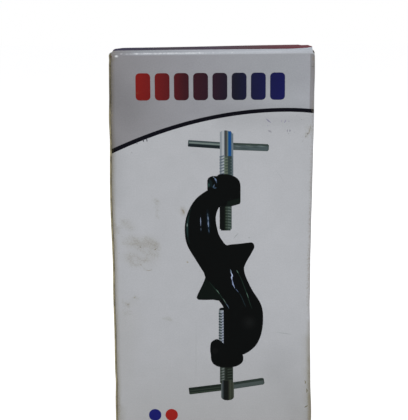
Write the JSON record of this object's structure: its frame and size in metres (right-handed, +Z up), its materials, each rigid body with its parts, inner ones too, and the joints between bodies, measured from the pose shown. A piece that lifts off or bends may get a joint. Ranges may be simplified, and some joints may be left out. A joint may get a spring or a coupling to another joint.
{
  "type": "tuck-end carton",
  "caption": "Tall rectangular folding carton of coated board, closed at top and bottom by hinged flaps whose tongues tuck in behind the opposite wall; holds one small tool.",
  "frame": {"origin": "centre of the carton's footprint, on the surface that it stands on", "axes": "+Z up along the height, front face (the glue seam is at its left edge) towards -Y, +X to the right of the front face"},
  "size_m": [0.072, 0.048, 0.156],
  "materials": {
    "printed_board": "satin print varnish over grey-white coated board",
    "top_flap_print": "satin print varnish, navy to maroon ink",
    "white_board": "satin print varnish over coated board"
  },
  "bodies": {
    "carton": {"carton_sleeve": "printed_board"},
    "top_flap": {"top_tuck_flap": "top_flap_print"},
    "bottom_flap": {"bottom_tuck_flap": "white_board"}
  },
  "joints": [
    {"name": "top_flap_fold", "type": "hinge", "parent": "carton", "child": "top_flap", "pos_m": [0, -0.024, 0.156], "axis": [1, 0, 0], "range_deg": [0, 180]},
    {"name": "bottom_flap_fold", "type": "hinge", "parent": "carton", "child": "bottom_flap", "pos_m": [0, 0.024, 0], "axis": [1, 0, 0], "range_deg": [0, 180]}
  ]
}
